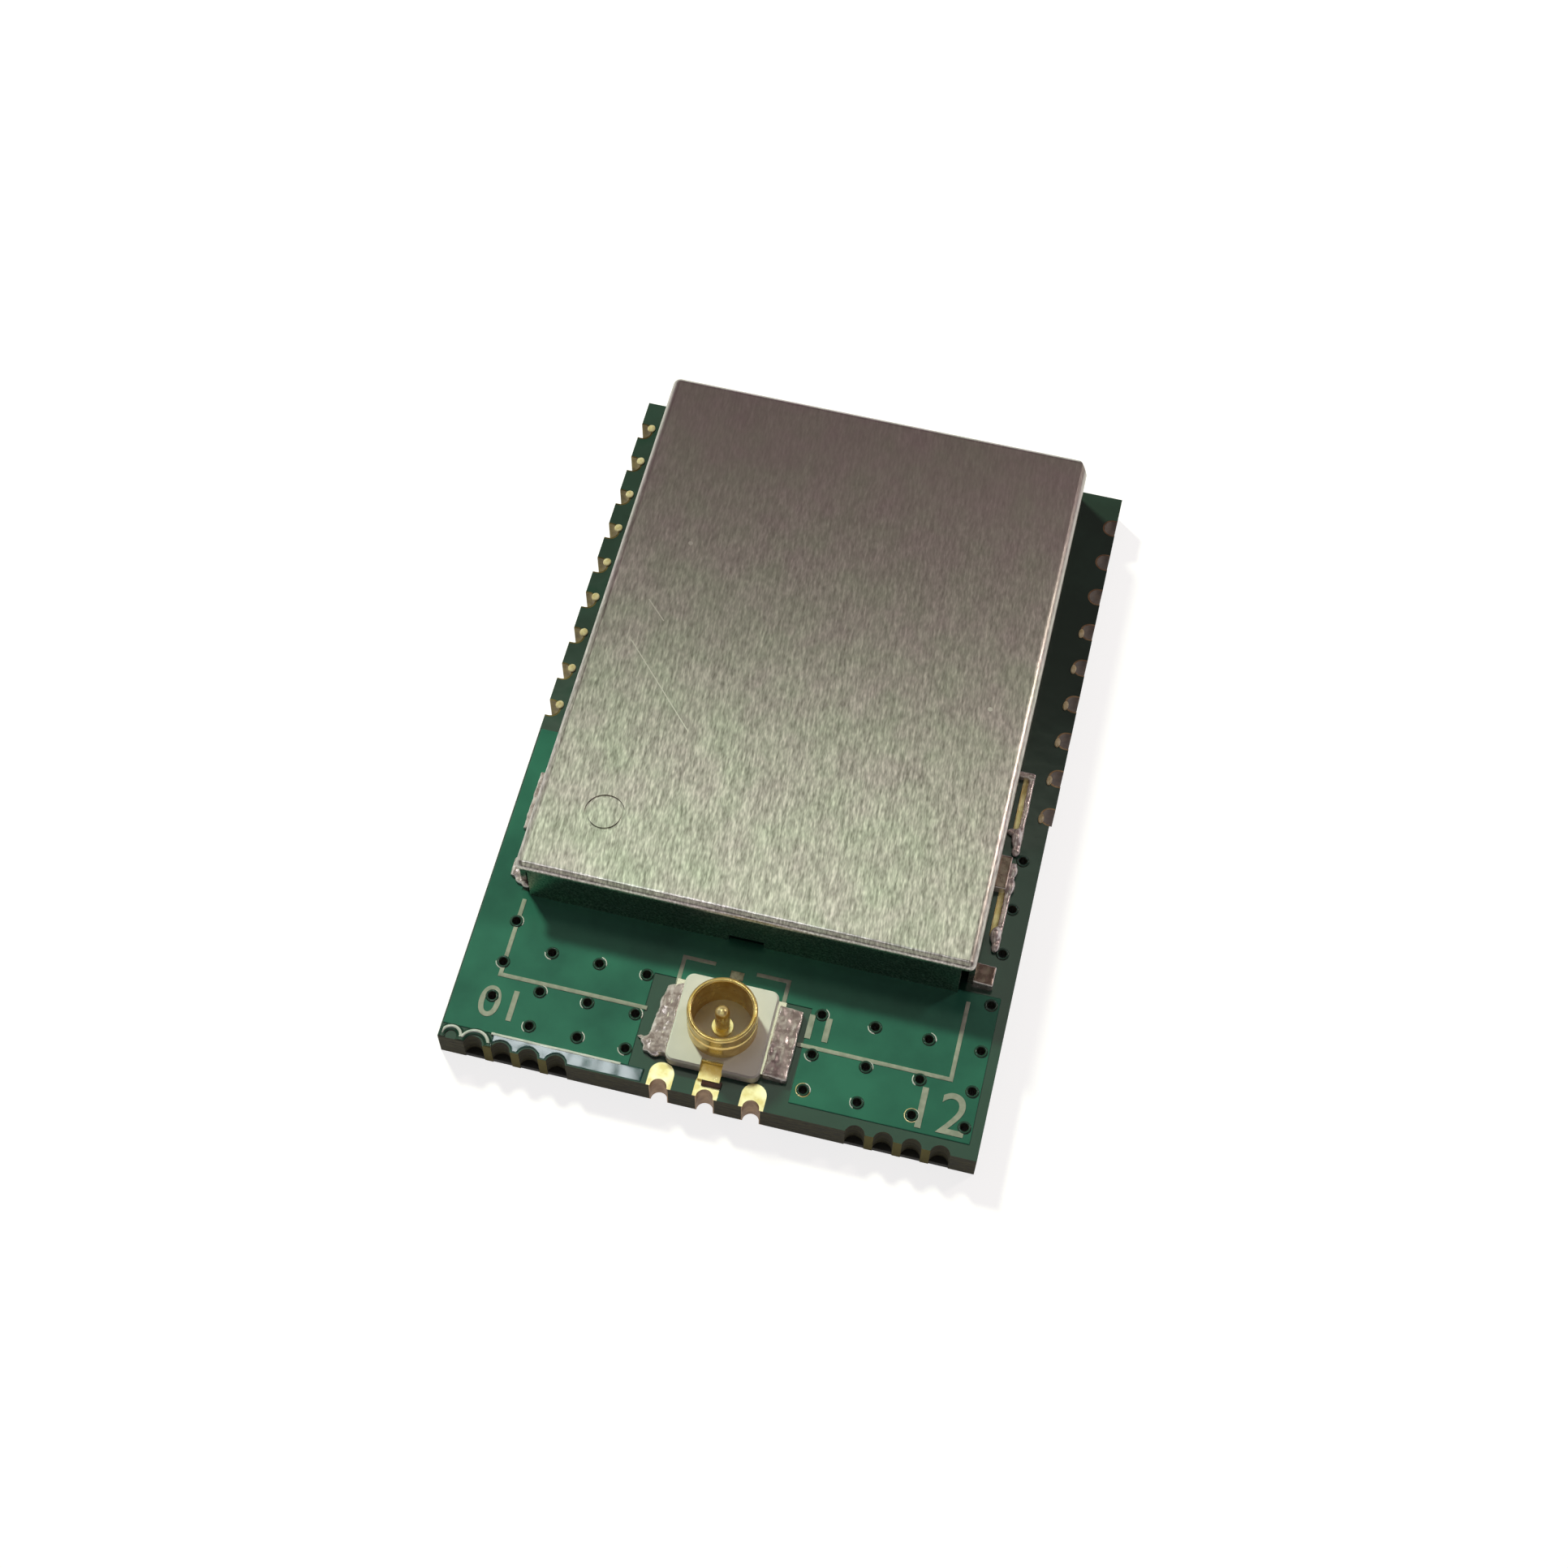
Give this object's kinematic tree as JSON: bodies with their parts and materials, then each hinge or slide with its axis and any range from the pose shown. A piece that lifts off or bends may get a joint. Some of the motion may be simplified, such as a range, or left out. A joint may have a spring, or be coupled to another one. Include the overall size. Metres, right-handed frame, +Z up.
{
  "type": "wireless transceiver module",
  "caption": "Small castellated radio board with a folded metal shield can over its circuit and a push-on coax socket at one end, for soldering flat onto a host board.",
  "frame": {"origin": "middle of the board's outline, on its underside", "axes": "+Z up, out of the side that carries the can; +Y along the board, from the coax end to the other end; +X to the right when seen from above with the coax end near"},
  "size_m": [0.0149, 0.0218, 0.0027],
  "materials": {
    "board": "glossy green solder mask over glass-epoxy laminate",
    "can_sheet": "fine brushed nickel silver sheet",
    "socket_plastic": "matt off-white moulding",
    "gold_plate": "thin gold plating",
    "solder": "bright reflowed tin solder",
    "chip_moulding": "matt black moulding",
    "package_ceramic": "plain ceramic with a metal lid",
    "filter_ceramic": "dark ceramic",
    "ferrite": "grey ferrite",
    "capacitor_ceramic": "tan ceramic",
    "inductor_ceramic": "pale blue ceramic",
    "resistor_ceramic": "black coated ceramic"
  },
  "bodies": {
    "root": {"circuit_board": "board", "shield_can": "can_sheet", "coax_base": "socket_plastic", "coax_shell": "gold_plate", "coax_pin": "gold_plate", "transceiver_chip": "chip_moulding", "crystal": "package_ceramic", "balun_filter": "filter_ceramic", "power_inductor": "ferrite", "contact_left_1": "gold_plate", "contact_left_2": "gold_plate", "contact_left_3": "gold_plate", "contact_left_4": "gold_plate", "contact_left_5": "gold_plate", "contact_left_6": "gold_plate", "contact_left_7": "gold_plate", "contact_left_8": "gold_plate", "contact_left_9": "gold_plate", "contact_right_1": "gold_plate", "contact_right_2": "gold_plate", "contact_right_3": "gold_plate", "contact_right_4": "gold_plate", "contact_right_5": "gold_plate", "contact_right_6": "gold_plate", "contact_right_7": "gold_plate", "contact_right_8": "gold_plate", "contact_right_9": "gold_plate", "contact_front_1": "gold_plate", "contact_front_2": "gold_plate", "contact_front_3": "gold_plate", "can_solder_right_rear": "solder", "can_solder_right_middle": "solder", "can_solder_right_corner": "solder", "can_solder_left": "solder", "can_solder_left_corner": "solder", "coax_solder_left": "solder", "coax_solder_right": "solder", "capacitor_1": "capacitor_ceramic", "capacitor_2": "capacitor_ceramic", "capacitor_3": "capacitor_ceramic", "capacitor_4": "capacitor_ceramic", "capacitor_5": "capacitor_ceramic", "capacitor_6": "capacitor_ceramic", "radio_inductor_1": "inductor_ceramic", "radio_inductor_2": "inductor_ceramic", "radio_inductor_3": "inductor_ceramic", "resistor_1": "resistor_ceramic", "resistor_2": "resistor_ceramic"}
  },
  "joints": []
}
